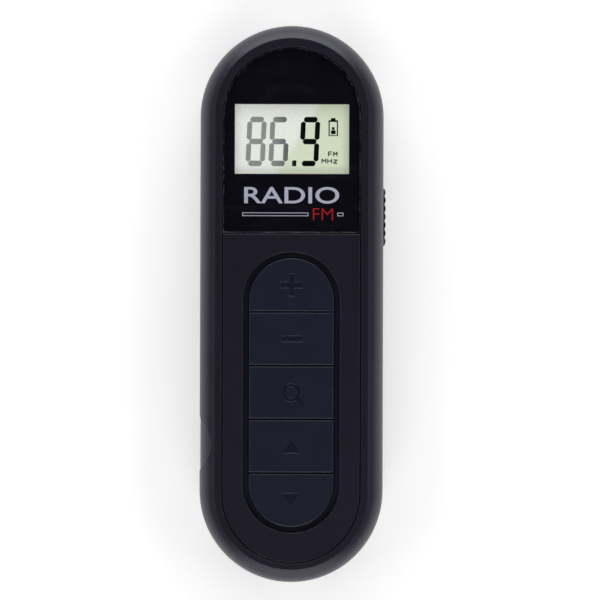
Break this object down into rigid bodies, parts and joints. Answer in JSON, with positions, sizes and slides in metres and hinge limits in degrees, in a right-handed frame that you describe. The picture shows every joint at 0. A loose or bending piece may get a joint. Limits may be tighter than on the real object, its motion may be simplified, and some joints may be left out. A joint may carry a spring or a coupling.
{
  "type": "pocket radio",
  "caption": "Capsule-shaped pocket FM radio with a display behind a glossy lens, a column of keys, a side slider and a sliding battery door.",
  "frame": {"origin": "middle of the rear face, on the plane that it rests on", "axes": "+Z out of the front, +Y to the top end, +X to the right as the front is read"},
  "size_m": [0.0417, 0.125, 0.02],
  "materials": {
    "case_plastic": "satin",
    "fascia_plastic": "satin",
    "key_plastic": "satin",
    "slider_plastic": "matte",
    "lens_acrylic": "gloss",
    "mask_print": "gloss",
    "adhesive": "matte",
    "lcd_face": "satin",
    "lcd_glass": "gloss",
    "clear_plastic": "gloss",
    "white_film": "satin",
    "white_plastic": "satin",
    "elastomer": "matte",
    "board_laminate": "satin",
    "chip_resin": "matte",
    "passive_ceramic": "matte",
    "ferrite": "matte",
    "can_metal": "satin",
    "switch_resin": "matte",
    "switch_metal": "satin",
    "plated_steel": "gloss",
    "screw_steel": "satin",
    "cell_jacket": "gloss"
  },
  "bodies": {
    "case": {"front_shell": "case_plastic", "rear_shell": "case_plastic", "display_lens": "lens_acrylic", "lens_mask_film": "mask_print", "lens_tape": "adhesive", "keypad_fascia": "fascia_plastic", "fascia_tape": "adhesive", "case_screws": "screw_steel", "pcb_screws": "screw_steel", "tact_switch_bodies": "switch_resin", "lcd_front_polariser": "lcd_face", "lcd_glass": "lcd_glass", "lcd_rear_polariser": "lcd_face", "lcd_light_guide": "clear_plastic", "lcd_reflector": "white_film", "backlight_leds": "white_plastic", "lcd_holder": "white_plastic", "lcd_connector_strip": "elastomer", "main_pcb": "board_laminate", "radio_chip": "chip_resin", "control_chip": "chip_resin", "crystal": "can_metal", "electrolytic_capacitors": "can_metal", "rf_inductor": "ferrite", "chip_passives": "passive_ceramic", "slide_switch_body": "switch_metal", "headphone_jack_body": "switch_resin", "headphone_jack_bush": "plated_steel", "headphone_jack_pins": "plated_steel", "battery_left": "cell_jacket", "battery_right": "cell_jacket", "battery_positive_contact": "plated_steel", "battery_negative_contact": "plated_steel", "battery_link_contact": "plated_steel"},
    "power_slider": {"power_slider": "slider_plastic", "switch_lever": "switch_resin"},
    "battery_door": {"battery_door": "case_plastic"},
    "key_volume_up": {"key_volume_up": "key_plastic", "plunger_volume_up": "switch_resin"},
    "key_volume_down": {"key_volume_down": "key_plastic", "plunger_volume_down": "switch_resin"},
    "key_search": {"key_search": "key_plastic", "plunger_search": "switch_resin"},
    "key_tune_up": {"key_tune_up": "key_plastic", "plunger_tune_up": "switch_resin"},
    "key_tune_down": {"key_tune_down": "key_plastic", "plunger_tune_down": "switch_resin"}
  },
  "joints": [
    {"name": "power_slide", "type": "slide", "parent": "case", "child": "power_slider", "axis": [0, -1, 0], "range_m": [0, 0.003]},
    {"name": "battery_door_slide", "type": "slide", "parent": "case", "child": "battery_door", "axis": [0, -1, 0], "range_m": [0, 0.057]},
    {"name": "key_volume_up_press", "type": "slide", "parent": "case", "child": "key_volume_up", "axis": [0, 0, -1], "range_m": [0, 0.0003], "stiffness_N_per_m": 1500, "springref_m": -0.0001},
    {"name": "key_volume_down_press", "type": "slide", "parent": "case", "child": "key_volume_down", "axis": [0, 0, -1], "range_m": [0, 0.0003], "stiffness_N_per_m": 1500, "springref_m": -0.0001},
    {"name": "key_search_press", "type": "slide", "parent": "case", "child": "key_search", "axis": [0, 0, -1], "range_m": [0, 0.0003], "stiffness_N_per_m": 1500, "springref_m": -0.0001},
    {"name": "key_tune_up_press", "type": "slide", "parent": "case", "child": "key_tune_up", "axis": [0, 0, -1], "range_m": [0, 0.0003], "stiffness_N_per_m": 1500, "springref_m": -0.0001},
    {"name": "key_tune_down_press", "type": "slide", "parent": "case", "child": "key_tune_down", "axis": [0, 0, -1], "range_m": [0, 0.0003], "stiffness_N_per_m": 1500, "springref_m": -0.0001}
  ]
}
